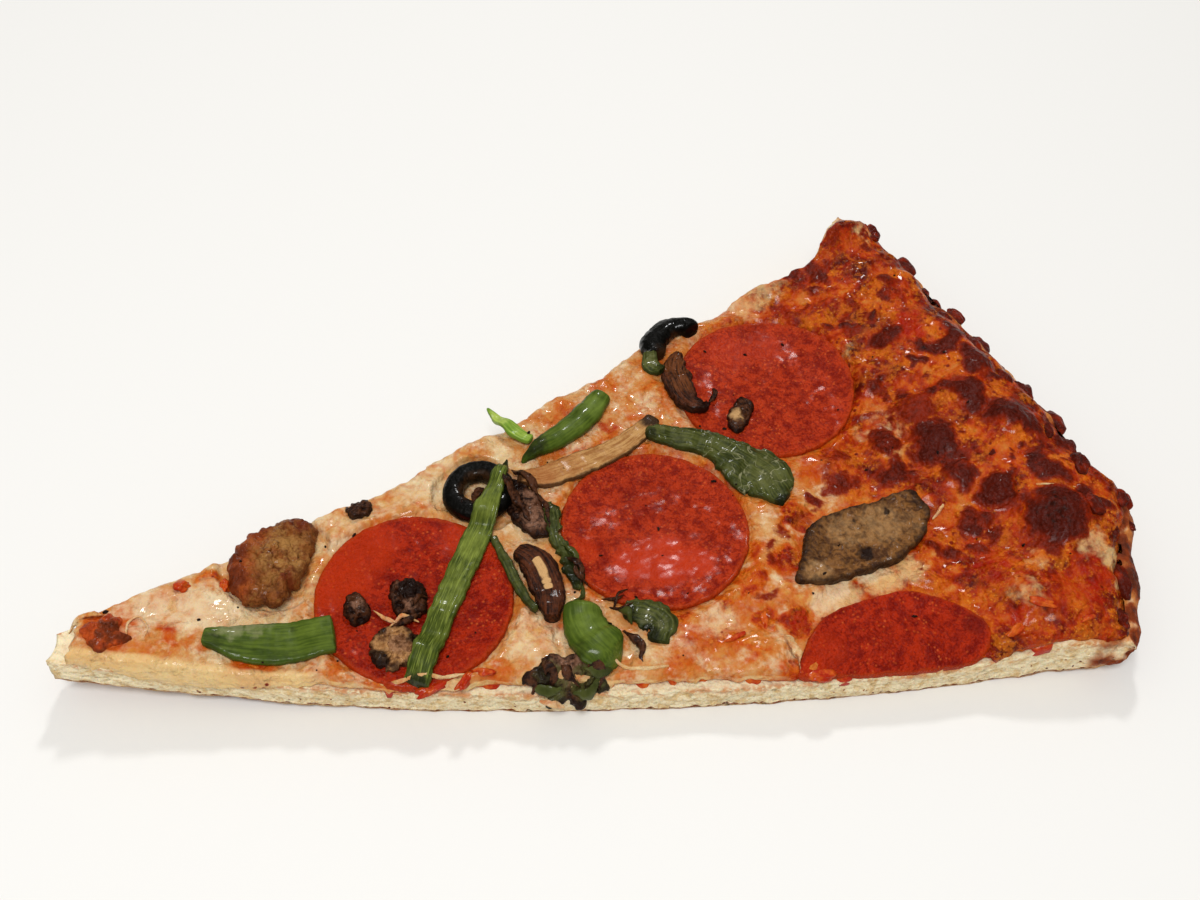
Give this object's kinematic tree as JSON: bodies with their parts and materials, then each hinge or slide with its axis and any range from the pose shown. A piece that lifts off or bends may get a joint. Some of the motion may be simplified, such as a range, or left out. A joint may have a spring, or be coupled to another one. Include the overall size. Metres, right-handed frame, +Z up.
{
  "type": "combination pizza slice",
  "caption": "Wedge of baked pizza with a puffed, blistered crust, melted cheese, pepperoni rounds, sausage, green pepper strips, mushroom and black olive.",
  "frame": {"origin": "centre of the bounding box's bottom, at the height of the flat underside", "axes": "+X from the wedge's tip to its crust, +Y to the left cut seen from the crust's side above, +Z up out of the toppings"},
  "size_m": [0.2285, 0.1295, 0.0221],
  "materials": {
    "baked_dough": "baked bread dough, pale and porous where cut, browned at the rim and below",
    "tomato_sauce": "moist tomato sauce",
    "melted_cheese": "melted cheese, cream in the middle and orange to dark brown on the crust",
    "pepperoni_bright": "oily cured sausage, bright red",
    "pepperoni_deep": "oily cured sausage, deep red",
    "sausage": "browned crumbled sausage",
    "mushroom_grey": "roasted mushroom, grey brown",
    "mushroom_dark": "roasted mushroom, dark brown",
    "mushroom_tan": "roasted mushroom, tan with dark edges",
    "black_olive": "wet black olive",
    "pepper_green": "glossy green pepper",
    "pepper_soft": "roasted soft green pepper",
    "pepper_pale": "yellow green pepper"
  },
  "bodies": {
    "root": {"dough": "baked_dough", "tomato_sauce": "tomato_sauce", "melted_cheese": "melted_cheese", "pepperoni_near_tip": "pepperoni_bright", "pepperoni_middle": "pepperoni_deep", "pepperoni_far": "pepperoni_deep", "pepperoni_cut": "pepperoni_bright", "sausage_chunk": "sausage", "sausage_crumb": "sausage", "mushroom_slab": "mushroom_grey", "mushroom_grey_piece": "mushroom_grey", "mushroom_front_piece": "mushroom_grey", "mushroom_edge_scrap": "mushroom_dark", "mushroom_scrap_left": "mushroom_dark", "mushroom_scrap_upper": "mushroom_dark", "mushroom_chip_far": "mushroom_dark", "mushroom_scrap_lower": "mushroom_tan", "mushroom_stem_slice": "mushroom_tan", "mushroom_cap_curl": "mushroom_dark", "mushroom_far_curl": "mushroom_dark", "olive_ring": "black_olive", "olive_half_ring": "black_olive", "pepper_near_tip": "pepper_green", "pepper_tucked": "pepper_soft", "pepper_thin_left": "pepper_soft", "pepper_thin_right": "pepper_soft", "pepper_bulb": "pepper_green", "pepper_back": "pepper_green", "pepper_sliver": "pepper_pale", "pepper_wrinkled": "pepper_soft", "pepper_scrap": "pepper_soft", "pepper_long": "pepper_green"}
  },
  "joints": []
}
